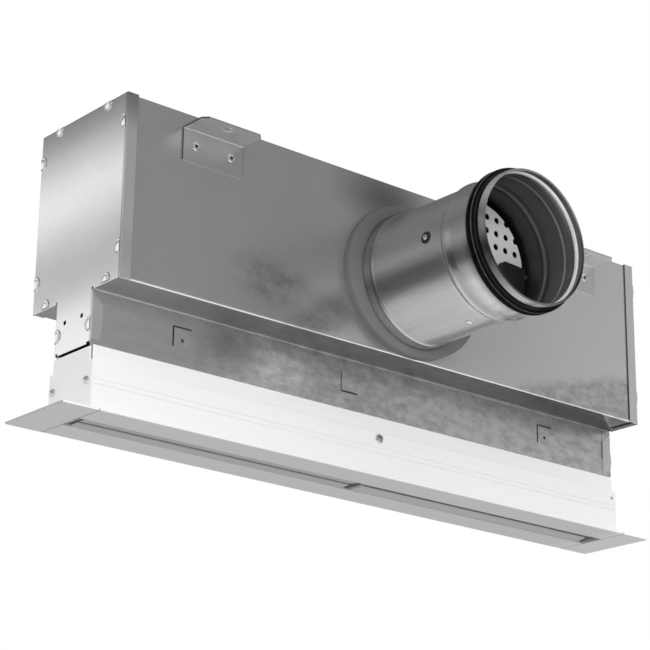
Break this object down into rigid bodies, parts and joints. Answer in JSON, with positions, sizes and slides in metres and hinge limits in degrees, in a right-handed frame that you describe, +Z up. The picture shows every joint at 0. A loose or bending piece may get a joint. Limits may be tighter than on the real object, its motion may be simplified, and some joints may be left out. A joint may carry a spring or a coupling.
{
  "type": "slot grille with plenum box",
  "caption": "Ceiling slot grille with hinged deflector leaves under a sheet-steel plenum box with a side duct spigot, lip gasket and perforated damper.",
  "frame": {"origin": "middle of the slot on the underside of the flange", "axes": "+X along the slot, -Y out of the duct spigot, +Z up into the ceiling; the flange's face looks to -Z"},
  "size_m": [0.697, 0.3211, 0.2765],
  "materials": {
    "galvanised_sheet": "bright galvanised sheet with faint spangle",
    "galvanised_pipe": "bright galvanised rolled pipe",
    "perforated_sheet": "bright galvanised perforated sheet",
    "plated_steel": "zinc plated, satin",
    "collar_foam": "matte dark grey cellular rubber",
    "gasket_rubber": "black rubber with a slight sheen",
    "black_plastic": "matte black moulded plastic",
    "grey_plastic": "matte grey moulded plastic",
    "white_paint": "white powder coat, satin",
    "leaf_paint": "light grey coat, satin",
    "raw_aluminium": "mill finish"
  },
  "bodies": {
    "plenum": {"damper_bushes": "black_plastic", "damper_stop_rivet": "plated_steel", "front_left_hanger": "galvanised_sheet", "front_right_hanger": "galvanised_sheet", "front_shell": "galvanised_sheet", "hanger_rivets": "plated_steel", "left_end_plate": "galvanised_sheet", "lip_gasket": "gasket_rubber", "rear_left_hanger": "galvanised_sheet", "rear_right_hanger": "galvanised_sheet", "rear_shell": "galvanised_sheet", "right_end_plate": "galvanised_sheet", "spigot_collar": "collar_foam", "spigot_pipe": "galvanised_pipe", "top_panel": "galvanised_sheet"},
    "grille_frame": {"front_profile": "white_paint", "rear_profile": "white_paint", "left_frame_end": "white_paint", "right_frame_end": "white_paint", "end_screws": "plated_steel", "centre_screws": "plated_steel", "centre_bridge": "raw_aluminium", "left_carrier": "grey_plastic", "centre_carrier": "grey_plastic", "right_carrier": "grey_plastic"},
    "damper": {"damper_blade": "perforated_sheet", "damper_shaft": "plated_steel", "damper_block": "black_plastic"},
    "left_front_deflector": {"left_front_leaf": "leaf_paint", "left_front_pins": "plated_steel"},
    "left_rear_deflector": {"left_rear_leaf": "leaf_paint", "left_rear_pins": "plated_steel"},
    "right_front_deflector": {"right_front_leaf": "leaf_paint", "right_front_pins": "plated_steel"},
    "right_rear_deflector": {"right_rear_leaf": "leaf_paint", "right_rear_pins": "plated_steel"}
  },
  "joints": [
    {"name": "frame_height", "type": "slide", "parent": "plenum", "child": "grille_frame", "axis": [0, 0, 1], "range_m": [-0.02, 0]},
    {"name": "damper_turn", "type": "hinge", "parent": "plenum", "child": "damper", "pos_m": [0.0077, -0.1537, 0.182], "axis": [-0.9981, 0, 0.061], "range_deg": [0, 90]},
    {"name": "left_front_deflector_tilt", "type": "hinge", "parent": "grille_frame", "child": "left_front_deflector", "pos_m": [0, -0.0152, 0.0046], "axis": [1, 0, 0], "range_deg": [-5, 65]},
    {"name": "left_rear_deflector_tilt", "type": "hinge", "parent": "grille_frame", "child": "left_rear_deflector", "pos_m": [0, 0.0152, 0.0046], "axis": [-1, 0, 0], "range_deg": [-2, 68]},
    {"name": "right_front_deflector_tilt", "type": "hinge", "parent": "grille_frame", "child": "right_front_deflector", "pos_m": [0, -0.0152, 0.0046], "axis": [1, 0, 0], "range_deg": [-14, 56]},
    {"name": "right_rear_deflector_tilt", "type": "hinge", "parent": "grille_frame", "child": "right_rear_deflector", "pos_m": [0, 0.0152, 0.0046], "axis": [-1, 0, 0], "range_deg": [-10, 60]}
  ]
}
